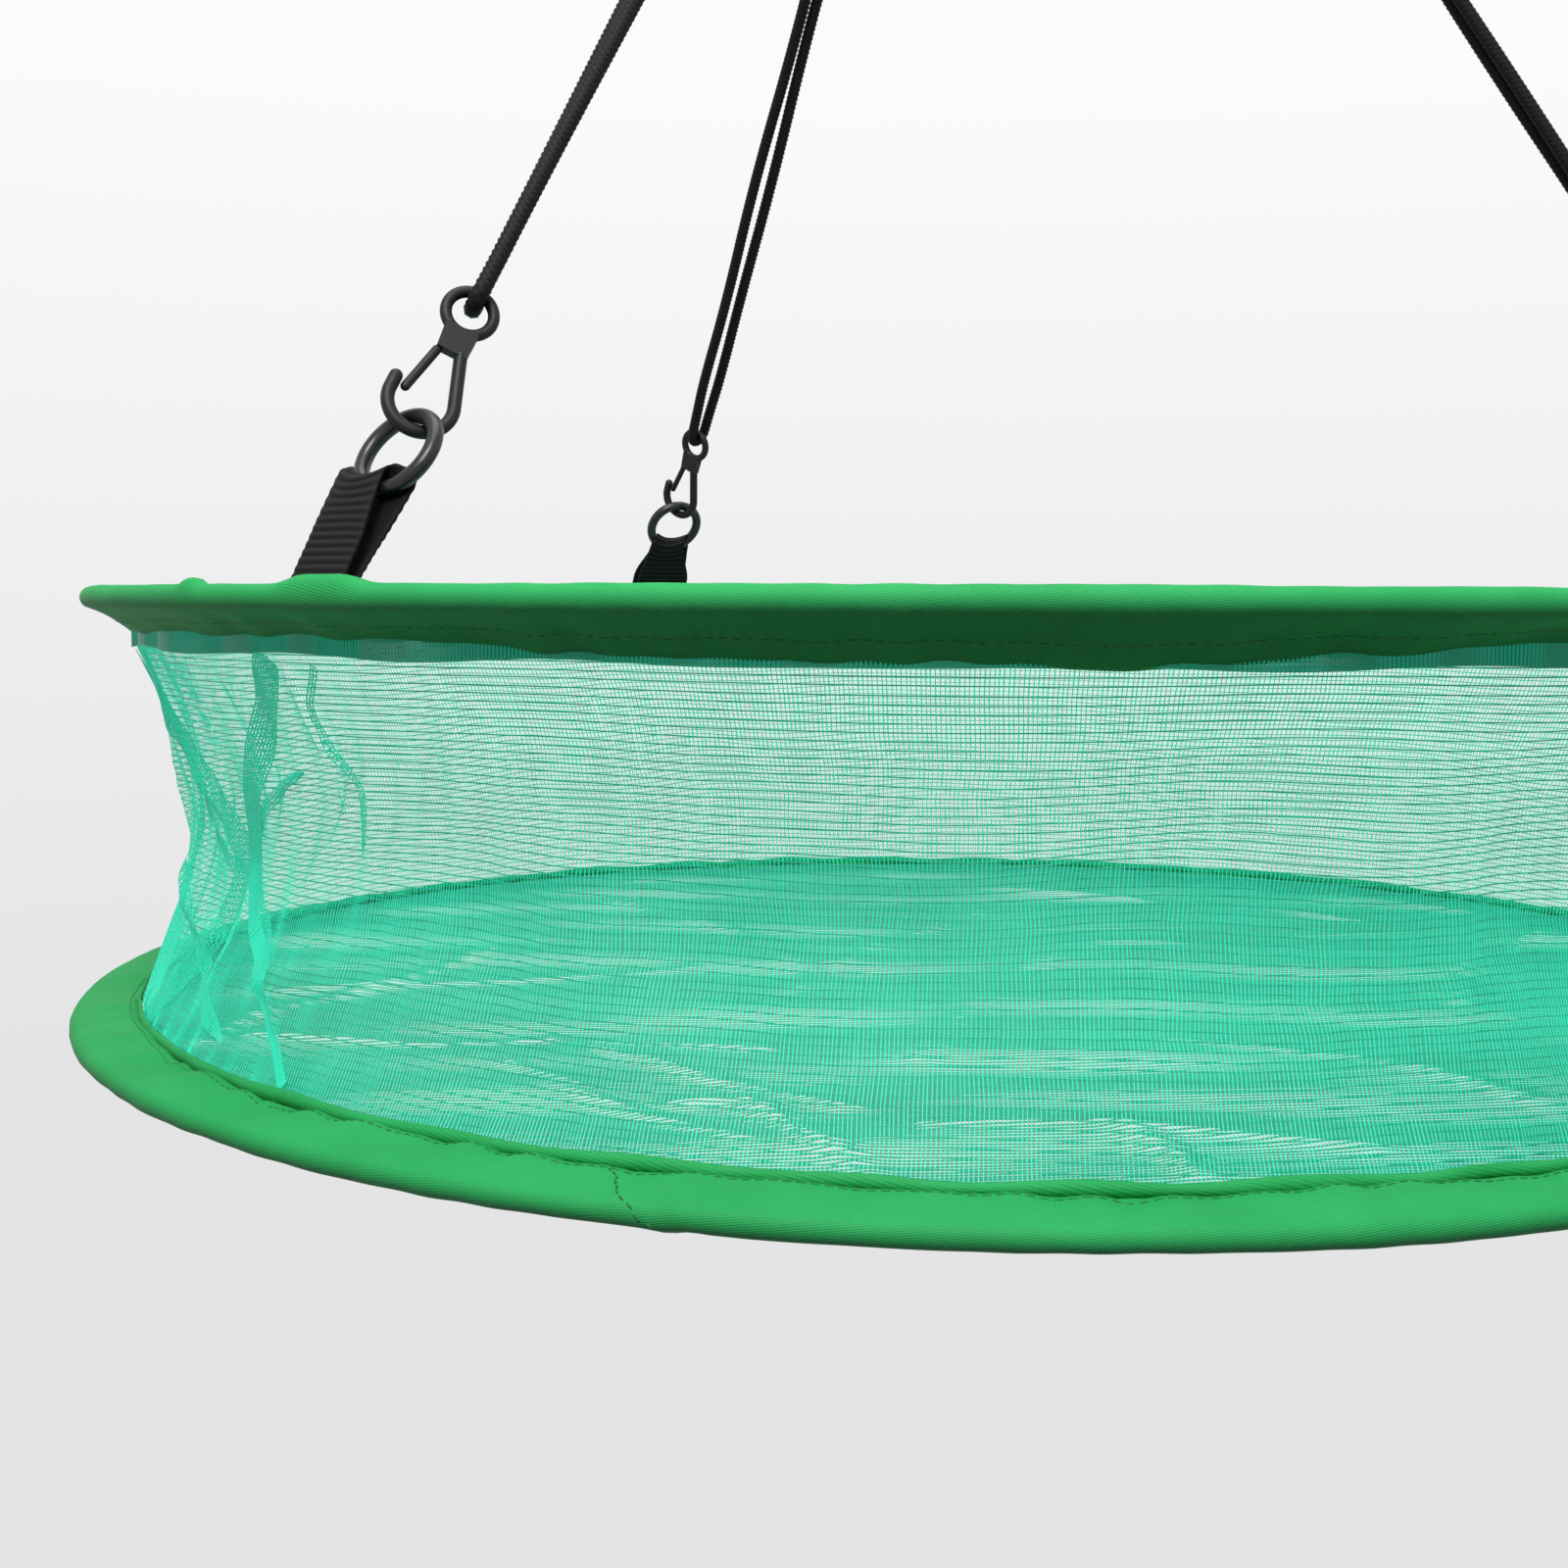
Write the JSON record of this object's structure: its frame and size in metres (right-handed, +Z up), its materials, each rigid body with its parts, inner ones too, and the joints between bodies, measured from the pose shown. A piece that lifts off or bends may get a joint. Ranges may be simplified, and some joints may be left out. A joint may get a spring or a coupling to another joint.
{
  "type": "hanging net tray",
  "caption": "Round hanging net tray: two wire hoops in green bindings, a fine netting wall and floor, and black webbing tabs, rings, snap hooks and doubled cords that meet at a ring.",
  "frame": {"origin": "middle of the hanging ring's hole, on the net's vertical axis", "axes": "+Z up; the hanging ring's plane is XZ, and the first chain's tab is on +Y"},
  "size_m": [0.6006, 0.6006, 0.6168],
  "materials": {
    "hanging_ring_steel": "plated steel ring, lightly scuffed",
    "black_cord": "braided polyester",
    "black_webbing": "ribbed polyester webbing",
    "black_ring_steel": "black coated steel, semi-gloss",
    "hook_plastic": "moulded acetal, satin",
    "hoop_steel": "spring steel wire",
    "ferrule_aluminium": "pressed sleeve",
    "green_binding": "woven polyester twill with a soft sheen",
    "green_netting": "knitted polyethylene monofilament, glossy"
  },
  "bodies": {
    "hanger": {"hanging_ring": "hanging_ring_steel"},
    "net": {"top_knot": "black_cord", "top_hoop_wire": "hoop_steel", "top_hoop_ferrule": "ferrule_aluminium", "top_binding": "green_binding", "side_mesh": "green_netting", "side_mesh_seam": "green_netting", "webbing_tab_1": "black_webbing", "snap_hook_1": "hook_plastic", "hanging_cord_1": "black_cord", "webbing_tab_2": "black_webbing", "snap_hook_2": "hook_plastic", "hanging_cord_2": "black_cord", "webbing_tab_3": "black_webbing", "snap_hook_3": "hook_plastic", "hanging_cord_3": "black_cord"},
    "tray": {"bottom_hoop_wire": "hoop_steel", "bottom_hoop_ferrule": "ferrule_aluminium", "bottom_binding": "green_binding", "floor_mesh": "green_netting"},
    "gate_1": {"hook_gate_1": "hook_plastic"},
    "ring_1": {"tab_ring_1": "black_ring_steel"},
    "gate_2": {"hook_gate_2": "hook_plastic"},
    "ring_2": {"tab_ring_2": "black_ring_steel"},
    "gate_3": {"hook_gate_3": "hook_plastic"},
    "ring_3": {"tab_ring_3": "black_ring_steel"}
  },
  "joints": [
    {"name": "net_swing", "type": "hinge", "parent": "hanger", "child": "net", "pos_m": [0, 0, -0.0175], "axis": [1, 0, 0], "range_deg": [-15, 15]},
    {"name": "net_collapse", "type": "slide", "parent": "net", "child": "tray", "axis": [0, 0, 1], "range_m": [0, 0.1], "deforming": ["side_mesh", "side_mesh_seam"]},
    {"name": "gate_press_1", "type": "hinge", "parent": "net", "child": "gate_1", "pos_m": [-0.00675, 0.25277, -0.40166], "axis": [-0.8746, -0.4064, -0.2643], "range_deg": [0, 25], "stiffness_Nm_per_rad": 0.02, "springref_deg": -8.59},
    {"name": "ring_turn_1", "type": "hinge", "parent": "net", "child": "ring_1", "pos_m": [-0.0056, 0.26729, -0.42779], "axis": [-0.0173, 0.8262, 0.5631], "continuous": true},
    {"name": "gate_press_2", "type": "hinge", "parent": "net", "child": "gate_2", "pos_m": [-0.22333, -0.11808, -0.40182], "axis": [-0.0744, -0.935, 0.3467], "range_deg": [0, 25], "stiffness_Nm_per_rad": 0.02, "springref_deg": -8.59},
    {"name": "ring_turn_2", "type": "hinge", "parent": "net", "child": "ring_2", "pos_m": [-0.2354, -0.12675, -0.42779], "axis": [-0.7276, -0.3918, 0.5631], "continuous": true},
    {"name": "gate_press_3", "type": "hinge", "parent": "net", "child": "gate_3", "pos_m": [0.21957, -0.12584, -0.40151], "axis": [0.2977, 0.9435, -0.1457], "range_deg": [0, 25], "stiffness_Nm_per_rad": 0.02, "springref_deg": -8.59},
    {"name": "ring_turn_3", "type": "hinge", "parent": "net", "child": "ring_3", "pos_m": [0.23153, -0.13368, -0.42779], "axis": [0.7157, -0.4132, 0.5631], "continuous": true}
  ]
}
